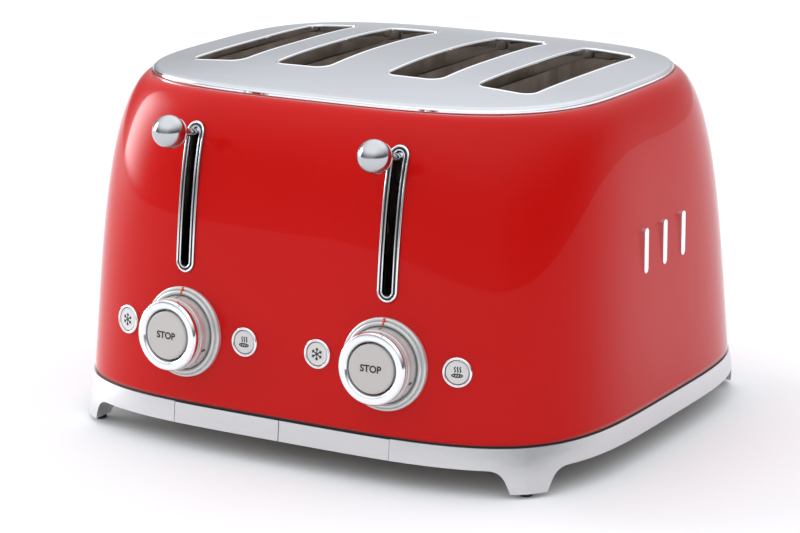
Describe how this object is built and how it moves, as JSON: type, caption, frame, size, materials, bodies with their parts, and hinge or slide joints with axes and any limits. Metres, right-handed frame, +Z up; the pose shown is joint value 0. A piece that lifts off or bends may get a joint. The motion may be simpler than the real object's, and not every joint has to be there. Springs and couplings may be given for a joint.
{
  "type": "pop-up toaster",
  "caption": "Square-bodied pop-up toaster with domed steel top, bread slots, ball-ended levers, dials, small push buttons, crumb trays and corner feet.",
  "frame": {"origin": "centre of the footprint's bounding box, on the surface that the feet stand on", "axes": "+Z up, the levers and dials face -Y, +X to the right as seen from the front"},
  "size_m": [0.342, 0.3158, 0.215],
  "materials": {
    "red_enamel": "gloss enamel",
    "satin_plate": "brushed",
    "satin_band": "satin",
    "chrome": "polished",
    "seal": "matt",
    "foot_rubber": "matt",
    "black_plastic": "matt",
    "knob_plastic": "satin",
    "sheet_steel": "bright galvanised",
    "mica": "layered",
    "heater_alloy": "oxidised",
    "circuit_board": "satin",
    "spring_steel": "bright"
  },
  "bodies": {
    "base": {"outer_shell": "red_enamel", "top_plate": "satin_plate", "base_band": "satin_band", "seam_gasket": "seal", "base_plate": "sheet_steel", "foot_pads": "foot_rubber", "base_screws": "spring_steel", "cord_gland": "black_plastic", "side_trim": "chrome", "front_end_plate": "sheet_steel", "rear_end_plate": "sheet_steel", "centre_shield": "sheet_steel", "heater_ribbons": "heater_alloy", "button_rings": "chrome", "lever_bezel_left": "chrome", "dial_ring_left": "chrome", "outer_shield_left": "sheet_steel", "guide_rod_left": "spring_steel", "lift_spring_left": "spring_steel", "control_board_left": "circuit_board", "dial_pot_left": "black_plastic", "latch_magnet_left": "black_plastic", "slot_liner_left_inner": "sheet_steel", "slot_liner_left_outer": "sheet_steel", "heater_board_left_inner": "mica", "heater_board_left_middle": "mica", "heater_board_left_outer": "mica", "lever_bezel_right": "chrome", "dial_ring_right": "chrome", "outer_shield_right": "sheet_steel", "guide_rod_right": "spring_steel", "lift_spring_right": "spring_steel", "control_board_right": "circuit_board", "dial_pot_right": "black_plastic", "latch_magnet_right": "black_plastic", "slot_liner_right_inner": "sheet_steel", "slot_liner_right_outer": "sheet_steel", "heater_board_right_inner": "mica", "heater_board_right_middle": "mica", "heater_board_right_outer": "mica"},
    "lift_left": {"carriage_left": "sheet_steel", "lever_ball_left": "chrome"},
    "guards_left_to_right": {"guards_left_to_right": "spring_steel"},
    "guards_left_to_left": {"guards_left_to_left": "spring_steel"},
    "knob_left": {"browning_knob_left": "knob_plastic"},
    "stop_left": {"stop_button_left": "knob_plastic"},
    "defrost_left": {"defrost_button_left": "knob_plastic"},
    "reheat_left": {"reheat_button_left": "knob_plastic"},
    "tray_left": {"crumb_tray_left": "sheet_steel", "tray_front_left": "satin_band"},
    "lift_right": {"carriage_right": "sheet_steel", "lever_ball_right": "chrome"},
    "guards_right_to_right": {"guards_right_to_right": "spring_steel"},
    "guards_right_to_left": {"guards_right_to_left": "spring_steel"},
    "knob_right": {"browning_knob_right": "knob_plastic"},
    "stop_right": {"stop_button_right": "knob_plastic"},
    "defrost_right": {"defrost_button_right": "knob_plastic"},
    "reheat_right": {"reheat_button_right": "knob_plastic"},
    "tray_right": {"crumb_tray_right": "sheet_steel", "tray_front_right": "satin_band"}
  },
  "joints": [
    {"name": "lever_left", "type": "slide", "parent": "base", "child": "lift_left", "axis": [0, 0, -1], "range_m": [0, 0.072], "stiffness_N_per_m": 60, "springref_m": -0.08, "deforming": ["lift_spring_left"]},
    {"name": "guards_left_to_right_slide", "type": "slide", "parent": "base", "child": "guards_left_to_right", "axis": [1, 0, 0], "range_m": [0, 0.005]},
    {"name": "guards_left_to_left_slide", "type": "slide", "parent": "base", "child": "guards_left_to_left", "axis": [-1, 0, 0], "range_m": [0, 0.005]},
    {"name": "knob_left_turn", "type": "hinge", "parent": "base", "child": "knob_left", "pos_m": [-0.0665, -0.13932, 0.069], "axis": [0.0544, 0.9952, -0.0818], "range_deg": [0, 250]},
    {"name": "stop_left_press", "type": "slide", "parent": "base", "child": "stop_left", "axis": [0.0544, 0.9952, -0.0818], "range_m": [0, 0.0025], "stiffness_N_per_m": 300, "springref_m": -0.002},
    {"name": "defrost_left_press", "type": "slide", "parent": "base", "child": "defrost_left", "axis": [0.2673, 0.9594, -0.0902], "range_m": [0, 0.002], "stiffness_N_per_m": 300, "springref_m": -0.002},
    {"name": "reheat_left_press", "type": "slide", "parent": "base", "child": "reheat_left", "axis": [0.0025, 0.9968, -0.0797], "range_m": [0, 0.002], "stiffness_N_per_m": 300, "springref_m": -0.002},
    {"name": "tray_left_slide", "type": "slide", "parent": "base", "child": "tray_left", "axis": [0, -1, 0], "range_m": [0, 0.235]},
    {"name": "lever_right", "type": "slide", "parent": "base", "child": "lift_right", "axis": [0, 0, -1], "range_m": [0, 0.072], "stiffness_N_per_m": 60, "springref_m": -0.08, "deforming": ["lift_spring_right"]},
    {"name": "guards_right_to_right_slide", "type": "slide", "parent": "base", "child": "guards_right_to_right", "axis": [1, 0, 0], "range_m": [0, 0.005]},
    {"name": "guards_right_to_left_slide", "type": "slide", "parent": "base", "child": "guards_right_to_left", "axis": [-1, 0, 0], "range_m": [0, 0.005]},
    {"name": "knob_right_turn", "type": "hinge", "parent": "base", "child": "knob_right", "pos_m": [0.0665, -0.13932, 0.069], "axis": [-0.0544, 0.9952, -0.0818], "range_deg": [0, 250]},
    {"name": "stop_right_press", "type": "slide", "parent": "base", "child": "stop_right", "axis": [-0.0544, 0.9952, -0.0818], "range_m": [0, 0.0025], "stiffness_N_per_m": 300, "springref_m": -0.002},
    {"name": "defrost_right_press", "type": "slide", "parent": "base", "child": "defrost_right", "axis": [-0.0025, 0.9968, -0.0797], "range_m": [0, 0.002], "stiffness_N_per_m": 300, "springref_m": -0.002},
    {"name": "reheat_right_press", "type": "slide", "parent": "base", "child": "reheat_right", "axis": [-0.2673, 0.9594, -0.0902], "range_m": [0, 0.002], "stiffness_N_per_m": 300, "springref_m": -0.002},
    {"name": "tray_right_slide", "type": "slide", "parent": "base", "child": "tray_right", "axis": [0, -1, 0], "range_m": [0, 0.235]}
  ],
  "couplings": [
    {"joint": "guards_left_to_right_slide", "follows": "lever_left", "ratio": 0.0694},
    {"joint": "guards_left_to_left_slide", "follows": "lever_left", "ratio": 0.0694},
    {"joint": "guards_right_to_right_slide", "follows": "lever_right", "ratio": 0.0694},
    {"joint": "guards_right_to_left_slide", "follows": "lever_right", "ratio": 0.0694}
  ]
}
